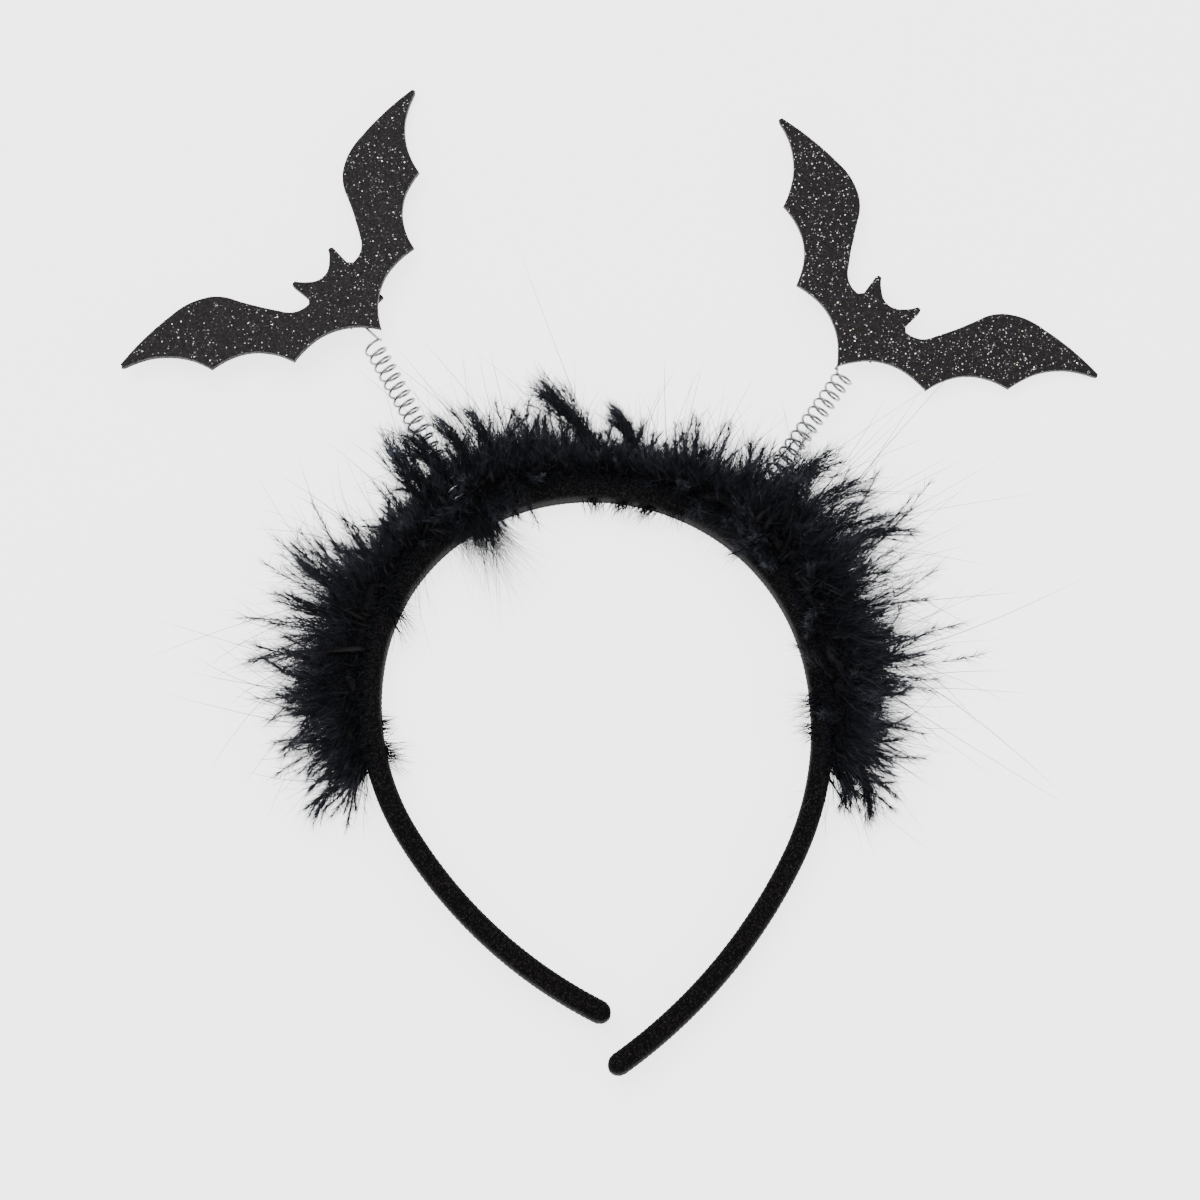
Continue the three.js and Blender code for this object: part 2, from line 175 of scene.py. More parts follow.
# Many closed round strands at once. lines is (count, rows, 3), radii is (count, rows);
# each ends in a point past its last row, and its start is closed flat.
def strandMesh(lines, tips, radii, facets=strandFacets):
    count, rows, _ = lines.shape
    ahead = np.concatenate([lines[:, 1:], tips[:, None]], 1)
    along = unit(ahead - lines)
    helper = np.where(np.abs(along[..., 2:3]) > 0.9, [1.0, 0, 0], [0, 0, 1.0])
    right = unit(np.cross(along, helper))
    high = np.cross(right, along)
    angle = 2 * np.pi * np.arange(facets) / facets
    ring = (lines[:, :, None] + radii[..., None, None] * (
        np.cos(angle)[None, None, :, None] * right[:, :, None]
        + np.sin(angle)[None, None, :, None] * high[:, :, None]))
    size = rows * facets + 1
    points = np.concatenate([ring.reshape(count, rows * facets, 3), tips[:, None]], 1).reshape(-1, 3)
    base = (np.arange(count) * size)[:, None, None]
    walls = (ringFaces(rows, facets)[None] + base).reshape(-1, 4)[:, ::-1]
    j = np.arange(facets)
    last = (rows - 1) * facets
    cone = np.stack([last + (j + 1) % facets, last + j, np.full(facets, size - 1)], -1)
    cone = (cone[None] + base).reshape(-1, 3)
    cap = (j[None, None] + base).reshape(-1, facets)
    return points, [walls, cone, cap]


# The band's line, as in the model: arcs of its inner edge from the crown to each tip

headWidth = 112.0
bandDepth = 10.0
crownThickness = 5.8
armThickness = 5.1
crown = np.array([-5.323, 18.415])  # inner middle of the crown in the row frame
bandArcs = {
    "right": [(0.524, 27.8), (0.492, 49.4), (0.675, 39.0), (1.226, 29.6)],
    "left": [(0.524, 27.5), (0.449, 49.0), (0.559, 45.0), (1.087, 33.0)],
}


# Samples of one arm: distance from the crown, point of the inner edge and angle turned so far
def armSamples(side):
    sign = 1 if side == "right" else -1
    place = np.zeros(2)
    turned = 0.0
    distance = 0.0
    samples = [(0.0, 0.0, 0.0, 0.0)]
    for share, sweep in bandArcs[side]:
        radius = share * headWidth
        for angle in np.radians(sweep) * np.arange(1, 61) / 60:
            x = place[0] + radius * (math.sin(turned + angle) - math.sin(turned))
            y = place[1] + radius * (math.cos(turned + angle) - math.cos(turned))
            samples.append((sign * (distance + radius * angle), sign * x, y, sign * (turned + angle)))
        place = np.array([abs(samples[-1][1]), samples[-1][2]])
        turned += math.radians(sweep)
        distance += radius * math.radians(sweep)
    return np.array(samples), distance


rightSamples, rightLength = armSamples("right")
leftSamples, leftLength = armSamples("left")
bandSamples = np.concatenate([leftSamples[:0:-1], rightSamples])
armLength = {"left": leftLength, "right": rightLength}


# Inner edge, outward normal and rightward direction at signed distances from the crown
def bandLine(distance):
    distance = np.asarray(distance, float)
    x, y, turned = (np.interp(distance, bandSamples[:, 0], bandSamples[:, i]) for i in (1, 2, 3))
    flat = np.zeros_like(x)
    edge = np.stack([x + crown[0], y + crown[1], flat], -1)
    normal = np.stack([np.sin(turned), np.cos(turned), flat], -1)
    rightwards = np.stack([np.cos(turned), -np.sin(turned), flat], -1)
    return edge, normal, rightwards


def bandThickness(distance):
    length = np.where(np.asarray(distance) < 0, leftLength, rightLength)
    share = np.minimum(np.abs(distance) / (0.5 * length), 1)
    return armThickness + (crownThickness - armThickness) * np.cos(share * np.pi / 2) ** 2


# Point at an outward distance from the outer face and a height
def outerFace(distance, outwards, height):
    edge, normal, _ = bandLine(distance)
    point = edge + normal * np.asarray(bandThickness(distance) + outwards)[..., None]
    point[..., 2] = height
    return point


# Knit band: a rounded section carried along the line, with a rib across it every few stitches.
# The yarn's pile stands out past the model's faces, inwards on the left arm and outwards on the right.

ribPitch = 1.36
ribHeight = 0.13


def makeBand():
    stations = 1500
    around = 20
    tipRound = 3.2
    edgeRound = 1.6
    distance = np.linspace(-leftLength + 0.02, rightLength - 0.02, stations)
    innerPile = np.interp(distance, [-95, -60, 0], [0.8, 0.4, 0.12])
    outerPile = np.interp(distance, [-60, 0, 60], [0, 0.25, 0.6])
    length = np.where(distance < 0, leftLength, rightLength)
    fromTip = np.clip((length - np.abs(distance)) / tipRound, 0, 1)
    shrink = np.sqrt(1 - (1 - fromTip) ** 2)
    edge, normal, _ = bandLine(distance)
    thickness = bandThickness(distance)
    # The section is a rounded box: each angle's direction is pushed out to a superellipse
    angle = 2 * np.pi * (np.arange(around) + 0.5) / around - np.pi / 2
    power = 0.42
    squareX = np.sign(np.cos(angle)) * np.abs(np.cos(angle)) ** power
    squareZ = np.sign(np.sin(angle)) * np.abs(np.sin(angle)) ** power
    halfWidth = (thickness + innerPile + outerPile) / 2 * shrink
    halfDepth = bandDepth / 2 - edgeRound * np.where(shrink < 0.999, 1 - shrink, 0)
    # Ribs: ridges of a rectified sine along the band, slightly uneven
    wander = 0.5 * np.sin(distance * 0.11) + 0.3 * np.sin(distance * 0.37 + 1)
    ridge = np.abs(np.sin(np.pi * (distance + wander) / ribPitch)) ** 0.8 - 1
    outwards = ridge[:, None] * ribHeight * shrink[:, None]
    x = squareX[None] * halfWidth[:, None] + np.cos(angle)[None] * outwards
    z = squareZ[None] * halfDepth[:, None] + np.sin(angle)[None] * outwards * 0.6
    middle = (thickness + outerPile - innerPile) / 2
    points = edge[:, None] + normal[:, None] * (middle[:, None] + x)[..., None]
    points[..., 2] = np.maximum(bandDepth / 2 + z, 0)
    band = makePiece("knit_band", tubePoints(points), tubeFaces(stations, around),
                     knit, "band", ["band"])
    # Each rib's height is kept for the knit's colour, which paints shade into the grooves between the ribs
    keepOnPoints(band, "ridge", np.concatenate([np.repeat(ridge + 1, around), [0.5, 0.5]]))


# Black ribbed knit: warm black yarn in fine loops, with painted shade in the gaps round each loop and in the
# grooves between the ribs, so each loop's top is paler
def makeKnit():
    material, tree, shader = newMaterial("black ribbed knit", {
        "Roughness": 0.92, "Sheen Weight": 0.02, "Sheen Roughness": 0.5, "Specular IOR Level": 0.08})
    ridge = addNode(tree, "ShaderNodeAttribute", attribute_name="ridge").outputs["Fac"]
    place = addNode(tree, "ShaderNodeTexCoord").outputs["Object"]
    loops = addNode(tree, "ShaderNodeTexVoronoi", {"Vector": place, "Scale": 1000 / 0.55})
    # Paler at the middle of each loop and darker towards its rim: painted shade in the gaps between loops
    tops = addNode(tree, "ShaderNodeMapRange", {
        "Value": loops.outputs["Distance"], "From Min": 0.15, "From Max": 0.6, "To Min": 1.0, "To Max": 0.0})
    fibre = addNode(tree, "ShaderNodeTexNoise", {"Vector": place, "Scale": 1500, "Detail": 4})
    # Painted loop shade times a random fibre tone; the same value also drives the bump
    loopShadeAndFibre = addNode(tree, "ShaderNodeMath", {
        0: tops.outputs["Result"], 1: fibre.outputs["Fac"]}, operation="MULTIPLY")
    # Painted shade in the rib grooves: the colour is darkened where the rib's height falls
    softRidge = addNode(tree, "ShaderNodeMapRange", {"Value": ridge, "To Min": 0.7, "To Max": 1.1})
    ribbed = addNode(tree, "ShaderNodeMath", {
        0: loopShadeAndFibre.outputs[0], 1: softRidge.outputs["Result"]}, operation="MULTIPLY")
    colour = addRamp(tree, ribbed.outputs[0], [(0.05, "#070607"), (0.3, "#161314"), (0.6, "#2E2A2B")])
    tree.links.new(colour, shader.inputs["Base Color"])
    relief = addNode(tree, "ShaderNodeBump", {
        "Strength": 0.7, "Distance": 0.00025, "Height": loopShadeAndFibre.outputs[0]})
    tree.links.new(relief.outputs["Normal"], shader.inputs["Normal"])
    return material


knit = makeKnit()
makeBand()
print("band made")


# Springs and bats, placed as in the model

wireDiameter = 0.7
coilDiameter = 5.2
coilTurns = 18
turnLean = math.tan(math.radians(7.5))
footLength = 9.0
legLength = 12.0
batSpan = 108.8
batHeight = 44.2
foamThickness = 2.0
batClearance = 1.0
gap = 0.3
wireBehind = gap + wireDiameter / 2
stepsPerTurn = 12
wireRows = 620
wireFacets = 10

sides = {
    "right": dict(sign=1, root=0.1902, coil=50.0, lean=2.6, rootHeight=8.4, quarter=0.25, batAlong=-0.2,
                  batAcross=-2.95, batTurn=-4.7, slope=3.5, roll=2.5, legAcross=0.0),
    "left": dict(sign=-1, root=0.165, coil=50.1, lean=-2.5, rootHeight=11.2, quarter=0.75, batAlong=1.85,
                 batAcross=3.9, batTurn=17.1, slope=9.5, roll=2.5, legAcross=-2.1),
}
up = np.array([0.0, 0.0, 1.0])


# Rotation matrix about a row axis, 0 to 2, by degrees
def turn(axis, degrees):
    c, s = math.cos(math.radians(degrees)), math.sin(math.radians(degrees))
    i, j = [(1, 2), (2, 0), (0, 1)][axis]
    matrix = np.eye(3)
    matrix[i, i] = matrix[j, j] = c
    matrix[i, j], matrix[j, i] = -s, s
    return matrix


# Where a spring stands on the band, its direction, and its bat's tail and turn
def springFrame(side):
    row = sides[side]
    distance = row["sign"] * row["root"] * armLength[side]
    _, normal, rightwards = bandLine(distance)
    direction = turn(2, row["lean"]) @ normal
    foot = outerFace(distance, 0, 0)
    heading = math.degrees(math.atan2(direction[1], direction[0]))
    tail = foot + direction * (row["coil"] + row["batAlong"]) + np.cross(direction, up) * row["batAcross"]
    tail[2] = (batClearance + batHeight * math.sin(math.radians(row["slope"]))
               + batSpan / 2 * math.sin(math.radians(row["roll"])))
    batTurn = turn(2, heading + row["batTurn"] - 90) @ turn(0, -row["slope"]) @ turn(1, row["roll"])
    return dict(distance=distance, tipwards=rightwards * row["sign"],
                direction=direction, foot=foot, tail=tail, batTurn=batTurn)


def onBat(side, points):
    place = springFrame(side)
    return place["tail"] + np.asarray(points) @ place["batTurn"].T


# Catmull-Rom curve through points, resampled to evenly spaced rows
def smoothPath(points, count):
    points = np.asarray(points, float)
    padded = np.concatenate([[2 * points[0] - points[1]], points, [2 * points[-1] - points[-2]]])
    t = np.linspace(0, 1, 9)[:-1, None, None]
    a, b, c, d = (padded[i:len(points) - 1 + i][None] for i in range(4))
    curve = 0.5 * (2 * b + (c - a) * t + (2 * a - 5 * b + 4 * c - d) * t ** 2
                   + (3 * b - a - 3 * c + d) * t ** 3)
    curve = np.concatenate([curve.transpose(1, 0, 2).reshape(-1, 3), points[-1:]])
    travelled = np.concatenate([[0], np.cumsum(np.linalg.norm(np.diff(curve, axis=0), axis=1))])
    even = np.linspace(0, travelled[-1], count)
    return np.stack([np.interp(even, travelled, curve[:, i]) for i in range(3)], -1)


# Round wire along a path, closed by rounded ends, with frames carried along without twist
def wireMesh(path, radius, facets):
    tangent = unit(np.gradient(path, axis=0))
    right = np.zeros_like(path)
    right[0] = unit(np.cross(tangent[0], up))
    for i in range(1, len(path)):
        right[i] = unit(right[i - 1] - tangent[i] * (right[i - 1] @ tangent[i]))
    high = np.cross(tangent, right)
    angle = 2 * np.pi * np.arange(facets) / facets
    widths = np.full(len(path), radius)
    widths[[0, -1]] = radius * 0.6
    ring = path[:, None] + widths[:, None, None] * (
        np.cos(angle)[None, :, None] * right[:, None] + np.sin(angle)[None, :, None] * high[:, None])
    points = np.concatenate([ring.reshape(-1, 3), path[[0, -1]] + tangent[[0, -1]] * [[-0.1], [0.1]]])
    return points, tubeFaces(len(path), facets)


def springPath(side):
    row = sides[side]
    place = springFrame(side)
    direction = place["direction"]
    wireAt = lambda y: onBat(side, [row["legAcross"], y, -wireBehind])
    start = place["foot"] + direction * (
        coilDiameter / 2 * (math.tan(math.radians(abs(row["lean"]))) + turnLean) + 2 * gap)
    start[2] = row["rootHeight"]
    end = place["foot"] + direction * row["coil"]
    end[2] = wireAt(0)[2]
    axis = unit(end - start)
    right = unit(np.cross(axis, up))
    down = np.cross(axis, right)
    toTip = np.sign(right @ place["tipwards"]) * row["sign"]
    foot = [outerFace(place["distance"] + toTip * footLength * share, gap + wireDiameter / 2,
                      row["rootHeight"] - coilDiameter / 2) for share in (1, 0.66, 0.33)]
    turns = coilTurns + row["quarter"]
    steps = round(turns * stepsPerTurn)
    share = np.arange(steps + 1)[:, None] / steps
    angle = 2 * np.pi * (turns * share + 0.25)
    helix = start + (end - start) * share + coilDiameter / 2 * (
        np.cos(angle) * right + np.sin(angle) * (down - turnLean * axis))
    leg = [wireAt(0), wireAt(legLength * 0.4), wireAt(legLength)]
    return np.concatenate([foot, helix, leg]), start, end


# Bright spring wire: steel with a little unevenness in its colour and shine
def makeSteel():
    material, tree, shader = newMaterial("bright spring wire", {"Metallic": 1.0, "Roughness": 0.24})
    place = addNode(tree, "ShaderNodeTexCoord").outputs["Object"]
    noise = addNode(tree, "ShaderNodeTexNoise", {"Vector": place, "Scale": 900, "Detail": 3})
    rough = addNode(tree, "ShaderNodeMapRange", {
        "Value": noise.outputs["Fac"], "To Min": 0.16, "To Max": 0.34})
    tree.links.new(rough.outputs["Result"], shader.inputs["Roughness"])
    colour = addRamp(tree, noise.outputs["Fac"], [(0.3, "#6C6E70"), (0.7, "#A2A4A6")])
    tree.links.new(colour, shader.inputs["Base Color"])
    return material


steel = makeSteel()
for side in sides:
    path, start, end = springPath(side)
    points, faces = wireMesh(smoothPath(path, wireRows), wireDiameter / 2, wireFacets)
    spring = makePiece(f"wire_spring_{side}", points, faces, steel, None, [f"spring_{side}"])
    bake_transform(spring)
print("springs made")


# Bats: half of the outline from the tail to the middle of the head, in shares of half the span
# and of the height, with the bow of each step

batOutline = [
    (0.405, 0.233, -0.18), (0.704, 0.563, -0.17), (0.985, 0.955, -0.14), (0.99, 0.985, 0.4),
    (0.65, 0.99, 0.03), (0.45, 0.905, 0.08), (0.385, 0.8, 0.06), (0.27, 0.53, -0.02),
    (0.15, 0.432, -0.16), (0.13, 0.46, 0), (0.1375, 0.575, 0), (0.113, 0.603, 0.35),
    (0.067, 0.535, -0.05), (0, 0.497, -0.1),
]


# Closed outline in millimetres, counterclockwise from the tail; each step is a quadratic curve
def batLoop():
    corners = np.array([(0, 0, 0)] + batOutline) * [batSpan / 2, batHeight, 1]
    half = []
    for (x0, y0, _), (x1, y1, bow) in zip(corners[:-1], corners[1:]):
        chord = np.array([x1 - x0, y1 - y0])
        control = np.array([x0 + x1, y0 + y1]) / 2 + 2 * bow * np.array([chord[1], -chord[0]])
        count = max(2, round(np.hypot(*chord) / 0.7))
        t = np.arange(count)[:, None] / count
        half.append((1 - t) ** 2 * [x0, y0] + 2 * t * (1 - t) * control + t ** 2 * np.array([x1, y1]))
    half = np.concatenate(half + [corners[-1:, :2]])
    return np.concatenate([half, half[-2:0:-1] * [-1, 1]])


def insideLoop(points, loop):
    a, b = loop, np.roll(loop, -1, 0)
    x, y = points[:, 0, None], points[:, 1, None]
    crosses = (a[:, 1] > y) != (b[:, 1] > y)
    slope = (b[:, 0] - a[:, 0]) / np.where(b[:, 1] == a[:, 1], 1e-9, b[:, 1] - a[:, 1])
    return (crosses & (x < a[:, 0] + (y - a[:, 1]) * slope)).sum(1) % 2 == 1


# Bat body: rings of the outline, inset at the die-cut edges, closed by flat faces above and below
def makeBat(side, seed):
    rng = np.random.default_rng(seed)
    loop = batLoop()
    tangent = unit(np.roll(loop, -1, 0) - np.roll(loop, 1, 0))
    inwards = np.stack([-tangent[:, 1], tangent[:, 0]], -1)
    ragged = np.convolve(rng.normal(0, 1, len(loop) + 4), np.ones(5) / 5, "valid") * 0.09
    rings = []
    for height, inset, wear in [(0.0, 0.3, 0.3), (0.12, 0.08, 0.6), (0.6, 0.0, 1), (1.3, 0.03, 1),
                                (1.82, 0.05, 0.5), (2.0, 0.22, 0.2)]:
        edge = loop + inwards * (inset + wear * ragged[:, None])
        rings.append(np.column_stack([edge, np.full(len(loop), height)]))
    points = onBat(side, np.concatenate(rings))
    count = len(loop)
    top = (len(rings) - 1) * count + np.arange(count)
    bottom = np.arange(count)[::-1]
    bat = makePiece(f"foam_bat_{side}", points, [ringFaces(len(rings), count), top[None], bottom[None]],
                    glitter, f"{side}_bat", [f"bat_{side}"], smooth=False)
    shade = np.concatenate([np.full(count, float(0.1 < ring[0, 2] < 1.9)) for ring in rings])
    keepOnPoints(bat, "cutEdge", shade)


# Glitter film on foam: dark grey-brown flakes, each its own tilt, a few of them painted pale to near white as
# glints of light;
# the cut edges show the plain foam
def makeGlitter():
    material, tree, shader = newMaterial("glitter foam", {
        "Metallic": 0.0, "Roughness": 0.5, "Specular IOR Level": 0.18})
    place = addNode(tree, "ShaderNodeTexCoord").outputs["Object"]
    cells = addNode(tree, "ShaderNodeTexVoronoi", {"Vector": place, "Scale": 1000 / 0.3})
    hue = addNode(tree, "ShaderNodeSeparateColor", {"Color": cells.outputs["Color"]})
    cloud = addNode(tree, "ShaderNodeTexNoise", {"Vector": place, "Scale": 160, "Detail": 4})
    # Most cells are dark grey-brown; the brightest few are painted glints, pale to near white
    flakes = addRamp(tree, hue.outputs["Red"], [
        (0.0, "#0B090A"), (0.6, "#1B1718"), (0.93, "#272224"), (0.985, "#6A6668"), (0.995, "#D4D2D2")])
    clouded = addNode(tree, "ShaderNodeMix", {
        "Factor": cloud.outputs["Fac"], "A": flakes, "B": toLinear("#171314")}, data_type="RGBA")
    cut = addNode(tree, "ShaderNodeAttribute", attribute_name="cutEdge").outputs["Fac"]
    colour = addNode(tree, "ShaderNodeMix", {
        "Factor": cut, "A": clouded.outputs["Result"], "B": toLinear("#070606")}, data_type="RGBA")
    tree.links.new(colour.outputs["Result"], shader.inputs["Base Color"])
    centred = addNode(tree, "ShaderNodeVectorMath", {
        0: cells.outputs["Color"], 1: (0.5, 0.5, 0.5)}, operation="SUBTRACT")
    tilted = addNode(tree, "ShaderNodeVectorMath", {0: centred.outputs[0], "Scale": 0.75}, operation="SCALE")
    normal = addNode(tree, "ShaderNodeNewGeometry").outputs["Normal"]
    mixed = addNode(tree, "ShaderNodeVectorMath", {0: tilted.outputs[0], 1: normal}, operation="ADD")
    facing = addNode(tree, "ShaderNodeVectorMath", {0: mixed.outputs[0]}, operation="NORMALIZE")
    tree.links.new(facing.outputs[0], shader.inputs["Normal"])
    metal = addNode(tree, "ShaderNodeMapRange", {
        "Value": hue.outputs["Green"], "From Min": 0.85, "From Max": 1.0, "To Max": 0.5})
    tree.links.new(metal.outputs["Result"], shader.inputs["Metallic"])
    return material


glitter = makeGlitter()
for side, seed in [("left", 5), ("right", 9)]:
    makeBat(side, seed)


flakeCorners = 5


# Loose bright flakes in the film: small flat plates, closed below, tilted a little
def makeFlakes(side, seed, count, sizes):
    rng = np.random.default_rng(seed)
    loop = batLoop()
    spots = rng.uniform([-batSpan / 2, 0], [batSpan / 2, batHeight], (count * 4, 2))
    spots = spots[insideLoop(spots, loop)][:count]
    count = len(spots)
    size = rng.uniform(*sizes, count)
    spin = rng.uniform(0, 2 * np.pi, count)
    tilt = rng.normal(0, 0.22, (count, 2))
    corner = 2 * np.pi * np.arange(flakeCorners) / flakeCorners + spin[:, None]
    flat = np.stack([np.cos(corner), np.sin(corner)], -1) * size[:, None, None]
    rise = (flat * tilt[:, None]).sum(-1)
    lift = np.abs(rise).max(1, keepdims=True)
    base = foamThickness + 0.02
    top = np.concatenate([spots[:, None] + flat, (base + lift + rise)[..., None]], -1)
    foot = np.column_stack([spots, np.full(count, foamThickness - 0.05)])[:, None]
    points = onBat(side, np.concatenate([top, foot], 1).reshape(-1, 3))
    first = (np.arange(count) * (flakeCorners + 1))[:, None, None]
    j = np.arange(flakeCorners)
    below = np.stack([(j + 1) % flakeCorners, j, np.full(flakeCorners, flakeCorners)], -1)
    faces = [(j[None, None] + first).reshape(-1, flakeCorners), (below[None] + first).reshape(-1, 3)]
    flakes = makePiece(f"flakes_{side}", points, faces, silver, f"{side}_bat", smooth=False)
    keepOnPoints(flakes, "tone", np.repeat(rng.uniform(0, 1, count), flakeCorners + 1))


# Polyester flakes: silver with a few pale yellow and grey ones
def makeSilver():
    material, tree, shader = newMaterial("silver flakes", {"Metallic": 0.75, "Roughness": 0.3})
    tone = addNode(tree, "ShaderNodeAttribute", attribute_name="tone").outputs["Fac"]
    colour = addRamp(tree, tone, [
        (0.0, "#77737A"), (0.45, "#BFBEC2"), (0.9, "#F2F2F2"), (0.97, "#E9E2BE")])
    tree.links.new(colour, shader.inputs["Base Color"])
    return material


silver = makeSilver()
makeFlakes("left", 21, 300, (0.09, 0.2))
makeFlakes("right", 22, 760, (0.09, 0.2))


# Foam square behind each bat: fine closed-cell foam
def makeFoam():
    material, tree, shader = newMaterial("black cell foam", {"Roughness": 0.85, "Specular IOR Level": 0.3})
    place = addNode(tree, "ShaderNodeTexCoord").outputs["Object"]
    cells = addNode(tree, "ShaderNodeTexVoronoi", {"Vector": place, "Scale": 1000 / 0.25})
    colour = addRamp(tree, cells.outputs["Distance"], [(0.0, "#121112"), (0.7, "#1F1D1E")])
    tree.links.new(colour, shader.inputs["Base Color"])
    relief = addNode(tree, "ShaderNodeBump", {
        "Strength": 0.4, "Distance": 0.0001, "Height": cells.outputs["Distance"]})
    tree.links.new(relief.outputs["Normal"], shader.inputs["Normal"])
    return material


foam = makeFoam()
for side in sides:
    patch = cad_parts[f"bat_{side}_patch"]
    patch.data.materials.clear()
    patch.data.materials.append(foam)
print("bats made")


# Marabou trim. The trim's table, by distance along the band: reach is the plumes' length as a
# share of the usual longest, over is how far the upper ones lean back, sweep turns them along it.

plumeLength = 27.0
trimStart = -0.55 * leftLength
trimEnd = 0.53 * rightLength
heartHeight = 5.6
tableClearance = 0.3
trimRows = {
    "reach": {-105: 0.42, -100: 0.62, -92: 0.85, -80: 1.0, -62: 1.05, -54: 0.85, -47: 0.5, -42: 0.62,
              -36: 0.92, -28: 0.92, -20: 0.88, -12: 0.84, -6: 0.7, 0: 0.56, 14: 0.56, 20: 0.76, 28: 0.9,
              36: 0.92, 40: 1.0, 46: 1.22, 60: 1.16, 70: 1.1, 80: 1.2, 88: 0.95, 97: 0.82, 104: 0.6},
    "over": {-105: 0, -52: 0, -36: 0.4, -19: 1, -6: 0.1, 15: 0, 27: 0.3, 42: 0.6, 76: 0.1, 105: 0},
    "sweep": {-105: -52, -94: -28, -84: -12, -52: 5, -36: 16, -19: 4, -6: -8, 15: -18, 27: -12, 42: 4,
              76: 12, 92: 22, 104: 48},
}


def trimValue(distance, column):
    return np.interp(distance, list(trimRows[column]), list(trimRows[column].values()))


# Distance along the band at a share of the trim's length
def trimPlace(share):
    return trimStart + (trimEnd - trimStart) * share


# Heading at a place of the trim: outward turned by sweep, then lifted by lift, both in degrees
def trimHeading(distance, sweep, lift):
    _, normal, rightwards = bandLine(distance)
    sweep, lift = np.radians(sweep)[:, None], np.radians(lift)[:, None]
    return np.cos(lift) * (np.cos(sweep) * normal + np.sin(sweep) * rightwards) + np.sin(lift) * up


# Rows of quadratic strands, root + length * (t * heading + t^2 * bend), kept above the table
def strandRows(root, heading, bend, length, rows):
    t = np.linspace(0, 1, rows + 1)[None, :, None]
    line = root[:, None] + length[:, None, None] * (t * heading[:, None] + t ** 2 * bend[:, None])
    height = line[..., 2]
    eased = 0.15 + 0.15 * np.exp(np.minimum(height - tableClearance, 0))
    line[..., 2] = np.where(height < tableClearance, eased, height)
    return line[:, :-1], line[:, -1]


# Barbs are so fine at their tips that light shows round them, so their tone pales towards the tip
def makeStrands(name, root, heading, bend, length, radius, rows, thinned=0.45, pale=0.4):
    lines, tips = strandRows(root, heading, bend, length, rows)
    taper = np.linspace(1, thinned, rows)[None]
    points, faces = strandMesh(lines, tips, radius[:, None] * taper)
    piece = makePiece(name, points, faces, marabou, "band", ["feather_trim"])
    count = len(root)
    dark = np.random.default_rng(count).uniform(0, 0.6, count)[:, None]
    along = np.append(np.repeat(np.arange(rows) / rows, strandFacets), 1.0)
    keepOnPoints(piece, "tone", dark + (1 - dark) * np.broadcast_to(pale, count)[:, None] * along)


# Black marabou: barbs from black to a cool grey, which show against each other; the greys are painted sheen
# and painted light of the pale backdrop round the finest barbs
def makeMarabou():
    material, tree, shader = newMaterial("black marabou", {"Roughness": 0.55, "Specular IOR Level": 0.16})
    tone = addNode(tree, "ShaderNodeAttribute", attribute_name="tone").outputs["Fac"]
    colour = addRamp(tree, tone, [
        (0.0, "#060607"), (0.4, "#0F1014"), (0.7, "#2B2E38"), (1.0, "#868A98")])
    tree.links.new(colour, shader.inputs["Base Color"])
    return material


marabou = makeMarabou()


# Heart of the trim: an uneven oval rope of down against the band's outer face
def makeHeart():
    stations, around = 260, 18
    share = np.linspace(0, 1, stations)
    distance = trimPlace(share)
    reach = trimValue(distance, "reach")
    angle = 2 * np.pi * np.arange(around) / around
    uneven = (1 + 0.13 * np.sin(share[:, None] * 190 + 2 * np.sin(3 * angle))
              + 0.1 * np.sin(share[:, None] * 83 + 5 * angle + 1))
    closing = np.sin(np.pi / 2 * np.clip(np.minimum(share, 1 - share) / 0.04, 0.03, 1))[:, None]
    halfWidth = 5 * reach[:, None] * uneven * closing
    halfHeight = (1.8 + 3.2 * reach)[:, None] * uneven * closing
    _, normal, _ = bandLine(distance)
    middle = outerFace(distance, 4 * reach, heartHeight)
    points = middle[:, None] + normal[:, None] * (halfWidth * np.cos(angle))[..., None]
    points[..., 2] = np.maximum(middle[:, None, 2] + halfHeight * np.sin(angle), tableClearance)
    makePiece("down_heart", tubePoints(points), tubeFaces(stations, around),
              marabou, "band", ["feather_trim"])


makeHeart()


# Down: short fine straight barbs all over the heart and along the band's upper edge
def makeDown(name, seed, count):
    rng = np.random.default_rng(seed)
    share = rng.uniform(0.005, 0.995, count)
    distance = trimPlace(share)
    reach = trimValue(distance, "reach")
    lift = rng.uniform(-20, 140, count)
    heading = trimHeading(distance, rng.normal(0, 38, count), lift)
    outwards = (0.6 + reach) * rng.uniform(1.5, 3.6, count)
    root = outerFace(distance, 3.8 * reach, heartHeight) + heading * outwards[:, None]
    length = rng.uniform(4, 12, count) * (0.3 + 0.7 * reach) * np.where(lift > 90, 0.5, 1)
    # A part of it stands on the band's upper outer edge and leans over the band
    edging = rng.uniform(0, 1, count) < 0.14
    root[edging] = outerFace(distance, rng.uniform(-1.6, 1, count), rng.uniform(9.6, 10.6, count))[edging]
    heading[edging] = trimHeading(distance, rng.normal(0, 40, count), rng.uniform(110, 172, count))[edging]
    length[edging] = rng.uniform(1.5, 4.5, count)[edging]
    radius = rng.uniform(0.05, 0.09, count)
    makeStrands(name, root, heading, np.zeros((count, 3)), length, radius, 1, pale=0.3)


makeDown("down", 41, 32000)


